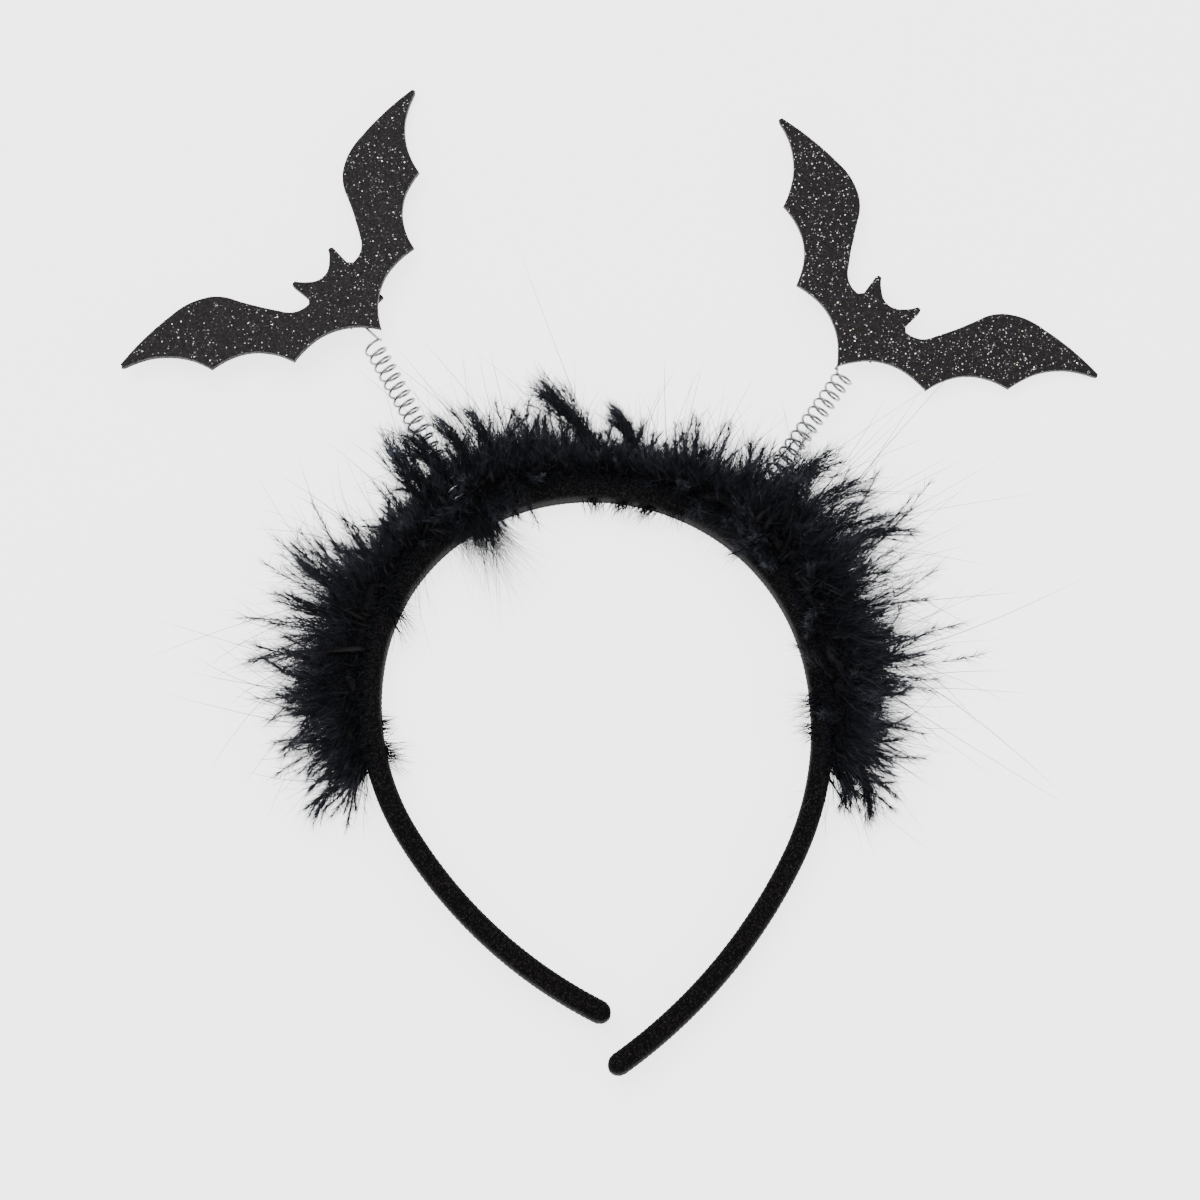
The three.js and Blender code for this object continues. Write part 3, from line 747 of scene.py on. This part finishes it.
# Mist: fine straight barbs spread evenly over the trim's whole depth, denser near the band
def makeMist(name, seed, count):
    rng = np.random.default_rng(seed)
    distance = trimPlace(rng.uniform(0.02, 0.98, count))
    reach = trimValue(distance, "reach")
    lift = 50 * rng.uniform(0, 1, count) ** 1.6 - 5
    heading = trimHeading(distance, trimValue(distance, "sweep") + rng.normal(0, 26, count), lift)
    inwards = rng.uniform(0, 1, count)
    # The trim's locks: its reach swells and sinks every 9 mm or so, unevenly
    reach *= 0.86 + 0.2 * np.sin(distance / 1.5 + 2.2 * np.sin(distance / 5.3))
    root = outerFace(distance, 0, rng.uniform(3, 9, count)) + heading * (15 * reach * inwards ** 1.7)[:, None]
    length = rng.uniform(5, 13, count) * (0.3 + 0.7 * reach)
    radius = rng.uniform(0.05, 0.09, count)
    # Barbs that start further out are painted paler: painted sheen and backdrop light at the trim's outer
    # edge
    makeStrands(name, root, heading, np.zeros((count, 3)), length, radius, 1, pale=0.35 + 0.65 * inwards)


makeMist("mist", 43, 45000)


# Barbs of curved shafts. Each leaves its shaft at an angle; the bound ones are drawn back along it
# and curve, and the free ones are short, straight and stand off as a haze.
def makeBarbs(name, rng, root, heading, bend, length, bound, free):
    plumes = len(root)
    barbs = bound + free
    isFree = np.arange(barbs) >= bound
    at = np.where(isFree, 0.25, 0.05) + (
        np.where(isFree, 0.75, 0.95) * rng.uniform(0, 1, (plumes, barbs)) ** 0.8)
    along = unit(heading[:, None] + 2 * at[..., None] * bend[:, None])
    start = root[:, None] + length[:, None, None] * (
        at[..., None] * heading[:, None] + at[..., None] ** 2 * bend[:, None])
    side = unit(np.cross(along, rng.normal(0, 1, (plumes, barbs, 3))))
    angle = np.radians(np.abs(rng.normal(0, 1, (plumes, barbs))) * np.where(isFree, 34, 24) + 5)[..., None]
    leave = np.cos(angle) * along + np.sin(angle) * side
    reachOut = np.where(isFree, 0.7, 1) * rng.uniform(0.2, 0.65, (plumes, barbs)) * (1.1 - 0.5 * at)
    barbLength = np.minimum(length, 22)[:, None] * reachOut
    barbBend = 0.7 * (along - leave) + 0.14 * rng.normal(0, 1, (plumes, barbs, 3))
    pick = lambda values, part: values[:, part].reshape(-1, *values.shape[2:])
    # Barbs further along their shaft are painted paler: painted sheen and backdrop light in the trim's outer
    # parts
    pale = 0.25 + 0.75 * at ** 2
    for kind, part, rows, radii in [("barbs", slice(0, bound), 2, (0.05, 0.09)),
                                    ("haze", slice(bound, None), 1, (0.06, 0.11))]:
        picked = pick(barbLength, part)
        makeStrands(f"{name}_{kind}", pick(start, part), pick(leave, part), pick(barbBend, part) * (rows > 1),
                    picked, rng.uniform(*radii, len(picked)), rows, pale=pick(pale, part))


# The dense part of each plume round its shaft: a closed blade that tapers to a point
bladeProfile = np.array([0.6, 0.95, 1.0, 0.88, 0.66, 0.42, 0.2])


def makeBlades(name, root, heading, bend, length, radius):
    lines, tips = strandRows(root, heading, bend, length, len(bladeProfile))
    points, faces = strandMesh(lines, tips, radius[:, None] * bladeProfile, 5)
    makePiece(name, points, faces, marabou, "band", ["feather_trim"])


# Plumes: neighbours hang together in bunches that share a part of their turn and length
def makePlumes(name, seed, low, high, plumes, bound, free):
    rng = np.random.default_rng(seed)
    share = low + (high - low) * (np.arange(plumes) + rng.uniform(0, 1, plumes)) / plumes
    distance = trimPlace(share)
    bunch = np.arange(plumes) // 7
    bunchTurn = rng.normal(0, 9, bunch[-1] + 1)[bunch]
    bunchLength = rng.uniform(0.72, 1.06, bunch[-1] + 1)[bunch]
    lift = 56 * rng.uniform(0, 1, plumes) ** 1.5 - 4
    leaning = rng.uniform(0, 1, plumes) < 0.45 * trimValue(distance, "over")
    lift = np.where(leaning, 100 + 40 * rng.uniform(0, 1, plumes), lift)
    sweep = trimValue(distance, "sweep") + bunchTurn + rng.normal(0, 16, plumes)
    heading = trimHeading(distance, sweep, lift)
    root = outerFace(distance, rng.uniform(-0.3, 5, plumes), rng.uniform(3, 12, plumes))
    length = plumeLength * trimValue(distance, "reach") * bunchLength * rng.uniform(0.42, 0.98, plumes)
    length *= np.where(leaning, 0.7, 1)
    droop = np.where(leaning, -0.45, -0.14)[:, None] * up
    bend = droop + 0.2 * rng.normal(0, 1, (bunch[-1] + 1, 3))[bunch] + 0.13 * rng.normal(0, 1, (plumes, 3))
    radius = rng.uniform(0.45, 1.0, plumes) * length / 20
    makeBlades(name + "_blades", root, heading, bend, 0.5 * length, radius)
    makeBarbs(name, rng, root, heading, bend, length, bound, free)


makePlumes("plumes_left", 31, 0.0, 0.29, 150, 26, 95)
makePlumes("plumes_crown_left", 32, 0.27, 0.52, 130, 26, 95)
makePlumes("plumes_crown_right", 33, 0.5, 0.75, 130, 26, 95)
makePlumes("plumes_right", 34, 0.73, 1.0, 150, 26, 95)

# Single plumes that stand out of the trim: where they start and end, by distance along the band,
# distance from its outer face and height, and how far their middle bows sideways
standing = [
    dict(start=(3, 3, 10), end=(-8, 22, 15), bow=1.2, barbs=620, width=1.5, dense=0.6),
    dict(start=(12, 3, 10), end=(4.5, 16, 13), bow=1, barbs=400, width=1.3, dense=0.6),
    dict(start=(-62, 6, 9), end=(-60, 25, 9), bow=-2, barbs=120, width=0.8, dense=0.8),
    dict(start=(-104, 3, 7), end=(-108, 16, 6), bow=2, barbs=180, width=0.7, dense=0.4),
    # In front of the left coil, and over its foot
    dict(start=(-37, 2, 12), end=(-36.5, 25, 16), bow=-2, barbs=200, width=0.8, dense=0.2),
    dict(start=(-34, 2, 12), end=(-36, 20, 19), bow=-1, barbs=320, width=1.4, dense=0.3),
    dict(start=(-31, 2, 12), end=(-33, 21, 19), bow=1, barbs=360, width=1.5, dense=0.3),
    dict(start=(-27, 2, 12), end=(-28, 21, 19), bow=2, barbs=320, width=1.4, dense=0.3),
    dict(start=(-23, 2, 12), end=(-22, 20, 17), bow=2, barbs=220, width=1.1, dense=0.3),
    dict(start=(-40, 1, 11), end=(-31, 3, 13), bow=0.5, barbs=200, width=1, dense=0.7),
    dict(start=(-26, 0.5, 10.6), end=(-37, 1.5, 12.5), bow=-0.5, barbs=240, width=1.2, dense=0.7),
    # In front of the right coil, and over its foot
    dict(start=(35, 2, 11), end=(34, 13, 16), bow=-1, barbs=180, width=1.1, dense=0.3),
    dict(start=(38, 2, 11), end=(39, 15, 17), bow=1, barbs=240, width=1.3, dense=0.3),
    dict(start=(41, 2, 12), end=(42, 20, 18), bow=-1, barbs=300, width=1.4, dense=0.4),
    dict(start=(44, 2, 12), end=(44, 27, 17), bow=-3, barbs=340, width=1.3, dense=0.4),
    dict(start=(50, 3, 12), end=(51, 30, 14), bow=-4, barbs=260, width=1, dense=0.4),
    dict(start=(58, 3, 12), end=(60, 32, 12), bow=-4, barbs=220, width=1, dense=0.4),
    dict(start=(48, 1, 11), end=(37, 3, 13), bow=-0.5, barbs=200, width=1.2, dense=0.7),
    # Along the arm at the right end
    dict(start=(99, 3, 7), end=(112, 13, 6), bow=-2, barbs=220, width=0.9, dense=0.4),
    dict(start=(101, 2, 6), end=(111, 6, 5), bow=-1, barbs=180, width=0.8, dense=0.4),
]


# Root, heading and bend of a shaft from a start to an end, bowed sideways in its middle
def bowedShaft(start, end, bow):
    first, last = (outerFace(np.array([d]), out, z)[0] for d, out, z in (start, end))
    span = last - first
    size = np.linalg.norm(span)
    sideways = 4 * bow * unit(np.cross(span, up)) / size
    return first, span / size + sideways, -sideways, size


def makeStanding(seed):
    rng = np.random.default_rng(seed)
    shafts = [bowedShaft(plume["start"], plume["end"], plume["bow"]) for plume in standing]
    root, heading, bend, length = (np.array(values) for values in zip(*shafts))
    dense, width = (np.array([plume[key] for plume in standing]) for key in ("dense", "width"))
    makeBlades("standing_blades", root, heading, bend, dense * length, width)
    share = np.repeat(np.arange(len(standing)), [plume["barbs"] // 20 for plume in standing])
    jitter = lambda size: size * rng.normal(0, 1, (len(share), 3))
    makeBarbs("standing_plumes", rng, root[share] + jitter(0.35), heading[share] + jitter(0.05),
              bend[share] + jitter(0.05), length[share], 16, 44)


makeStanding(71)


# Barbs stuck together into dark tapering points, and long single hairs beyond them
def makeSpikes(name, seed, count, spans, widths, start, spread, rows, thinned):
    rng = np.random.default_rng(seed)
    share = (np.arange(count) + rng.uniform(0, 1, count)) / count
    distance = trimPlace(share)
    reach = trimValue(distance, "reach")
    lift = 45 * rng.uniform(0, 1, count) ** 1.4 - 4
    heading = trimHeading(distance, trimValue(distance, "sweep") + rng.normal(0, spread, count), lift)
    root = outerFace(distance, 0, 6) + heading * (reach * rng.uniform(*start, count))[:, None]
    length = rng.uniform(*spans, count) * (0.35 + 0.65 * reach)
    bend = 0.28 * rng.normal(0, 1, (count, 3)) - 0.08 * up
    radius = rng.uniform(*widths, count)
    makeStrands(name, root, heading, bend, length, radius, rows, thinned, pale=0.15)


makeSpikes("matted_points", 51, 320, (6, 14), (0.07, 0.17), (6, 16), 24, 4, 0.3)
makeSpikes("long_hairs", 52, 620, (10, 21), (0.08, 0.13), (9, 18), 26, 5, 0.4)


# Long curved filaments that stand far out of the trim: where along the band, their spread there,
# the way they turn, and how long and how many they are
wisps = [
    dict(distance=46, along=5, sweep=4, length=44, count=26),
    dict(distance=58, along=6, sweep=2, length=44, count=26),
    dict(distance=72, along=6, sweep=8, length=42, count=22),
    dict(distance=88, along=6, sweep=14, length=32, count=12),
    dict(distance=24, along=7, sweep=-10, length=27, count=14),
    dict(distance=4, along=8, sweep=-12, length=22, count=8),
    dict(distance=-22, along=8, sweep=-10, length=30, count=24),
    dict(distance=-38, along=4, sweep=4, length=30, count=12),
    dict(distance=-56, along=8, sweep=0, length=33, count=18),
    dict(distance=-76, along=9, sweep=-4, length=40, count=22),
    dict(distance=-95, along=6, sweep=-22, length=28, count=12),
]


# Each column of a table, with its row's value for every one of the row's strands
def strandColumns(table):
    counts = [row["count"] for row in table]
    return {key: np.repeat([float(row[key]) for row in table], counts) for key in table[0]}


def makeWisps(seed):
    rng = np.random.default_rng(seed)
    columns = strandColumns(wisps)
    count = len(columns["count"])
    distance = columns["distance"] + columns["along"] * rng.normal(0, 1, count)
    heading = trimHeading(distance, columns["sweep"] + rng.normal(0, 14, count), rng.uniform(0, 22, count))
    root = outerFace(distance, 5, 8)
    bend = 0.4 * rng.normal(0, 1, (count, 3)) * [1, 1, 0.3]
    length = columns["length"] * rng.uniform(0.6, 1, count)
    makeStrands("wisps", root, heading, bend, length, rng.uniform(0.13, 0.19, count), 7, 0.35, pale=0)


makeWisps(53)


# Tufts that hang over the band into the arch: where along the band, how far from the outer face
# and how high they start, which way they point, and how long and how many their barbs are
tufts = [
    dict(distance=-31, out=1, height=11, sweep=8, lift=162, length=31, count=220, spread=12),
    dict(distance=-27, out=1, height=11, sweep=-12, lift=164, length=25, count=200, spread=16),
    dict(distance=-37, out=1, height=10.5, sweep=16, lift=160, length=22, count=200, spread=18),
    dict(distance=-30, out=2, height=10.5, sweep=0, lift=161, length=19, count=1150, spread=30),
    dict(distance=1, out=-6, height=7, sweep=10, lift=178, length=5, count=60, spread=34),
    dict(distance=9, out=-6, height=7, sweep=-20, lift=176, length=6, count=70, spread=34),
    dict(distance=16, out=-6, height=7, sweep=-35, lift=176, length=6.5, count=80, spread=30),
    dict(distance=35, out=0, height=11, sweep=-35, lift=164, length=10, count=260, spread=26),
    dict(distance=44, out=0, height=11, sweep=-30, lift=164, length=11, count=260, spread=26),
    dict(distance=87, out=-3, height=10, sweep=20, lift=168, length=10, count=130, spread=26),
    dict(distance=-60, out=-2, height=10, sweep=-15, lift=166, length=9, count=100, spread=30),
    dict(distance=-92, out=-5, height=7, sweep=0, lift=172, length=5.5, count=60, spread=8),
    dict(distance=-99, out=-5, height=8, sweep=-25, lift=170, length=9, count=90, spread=22),
    dict(distance=-25, out=-2, height=11, sweep=-22, lift=173, length=31, count=24, spread=12),
    dict(distance=-48, out=-3, height=10, sweep=-50, lift=174, length=24, count=8, spread=8),
    dict(distance=-62, out=-4, height=9, sweep=-40, lift=174, length=12, count=40, spread=20),
    dict(distance=22, out=-5, height=9, sweep=25, lift=172, length=6, count=40, spread=24),
    dict(distance=94, out=-4, height=9, sweep=10, lift=172, length=7, count=50, spread=24),
]


def makeTufts(seed):
    rng = np.random.default_rng(seed)
    columns = strandColumns(tufts)
    count = len(columns["distance"])
    distance = columns["distance"] + rng.normal(0, 1.5, count)
    # Past 90 degrees of lift the heading points inwards, so the sweep's side is turned round with it
    heading = trimHeading(distance, -columns["sweep"] + columns["spread"] * rng.normal(0, 0.7, count),
                          columns["lift"] + rng.normal(0, 8, count))
    root = outerFace(distance, 0, columns["height"])
    root += bandLine(distance)[1] * columns["out"][:, None] + rng.normal(0, 0.5, (count, 3))
    bend = -0.2 * up + 0.14 * rng.normal(0, 1, (count, 3))
    length = columns["length"] * rng.uniform(0.4, 1.1, count)
    # Tufts of few barbs are made of coarser ones, and only the thick tufts have blades in them
    dense = columns["count"] > 120
    radius = np.where(dense, 1, 1.5) * rng.uniform(0.07, 0.11, count)
    pick = np.flatnonzero(dense)[::10]
    makeBlades("tuft_blades", root[pick], heading[pick], bend[pick], 0.4 * length[pick], 0.028 * length[pick])
    makeStrands("tufts_in_arch", root, heading, bend, length, radius, 2, pale=0.25)


makeTufts(61)
print("trim made")


# Floor and light: the surface glows a little, as a lit studio sweep does, so shadows stay faint
def makeFloor():
    material, tree, shader = newMaterial("pale matt surface", {
        "Roughness": 0.9, "Specular IOR Level": 0.1, "Emission Strength": 2.7})
    shader.inputs["Base Color"].default_value = toLinear("#F2F2F2")
    shader.inputs["Emission Color"].default_value = (1, 1, 1, 1)
    place = addNode(tree, "ShaderNodeTexCoord").outputs["Object"]
    grain = addNode(tree, "ShaderNodeTexNoise", {"Vector": place, "Scale": 700, "Detail": 3})
    relief = addNode(tree, "ShaderNodeBump", {
        "Strength": 0.03, "Distance": 0.0002, "Height": grain.outputs["Fac"]})
    tree.links.new(relief.outputs["Normal"], shader.inputs["Normal"])
    mesh = bpy.data.meshes.new("floor")
    reach = 3.0
    corners = [(-reach, -reach, 0), (reach, -reach, 0), (reach, reach, 0), (-reach, reach, 0)]
    mesh.from_pydata(corners, [], [(0, 1, 2, 3)])
    mesh.materials.append(material)
    floor = bpy.data.objects.new("floor", mesh)
    bpy.context.scene.collection.objects.link(floor)


def addAreaLight(name, place, aim, size, power):
    data = bpy.data.lights.new(name, "AREA")
    data.shape = "RECTANGLE"
    data.size, data.size_y = size
    data.energy = power
    light = bpy.data.objects.new(name, data)
    bpy.context.scene.collection.objects.link(light)
    light.location = place
    direction = np.array(aim, float) - place
    light.rotation_euler = (
        math.acos(-direction[2] / np.linalg.norm(direction)), 0,
        math.atan2(direction[1], direction[0]) - math.pi / 2)


makeFloor()
world = bpy.data.worlds.new("studio")
world.use_nodes = True
# The room is darker near the horizon than overhead, which draws the wires' dark sides
height = addNode(world.node_tree, "ShaderNodeSeparateXYZ", {
    "Vector": addNode(world.node_tree, "ShaderNodeTexCoord").outputs["Generated"]}).outputs["Z"]
glow = addNode(world.node_tree, "ShaderNodeMapRange", {
    "Value": height, "From Min": 0.1, "From Max": 0.7, "To Min": 0.12, "To Max": 1.0})
background = world.node_tree.nodes["Background"]
world.node_tree.links.new(glow.outputs["Result"], background.inputs["Strength"])
background.inputs["Color"].default_value = (1, 1, 1, 1)
bpy.context.scene.world = world
addAreaLight("overhead softbox", (-0.25, 0.35, 1.0), (0, 0, 0), (0.8, 0.6), 9)
addAreaLight("side softbox", (0.9, -0.2, 0.5), (0, 0, 0), (0.5, 0.5), 2.5)
print("lights placed")

added = [o.data for o in bpy.data.objects if o.type == "MESH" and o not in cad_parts.values()]
print("triangles added:", sum(sum(len(face.vertices) - 2 for face in mesh.polygons) for mesh in added))

bpy.context.view_layer.update()
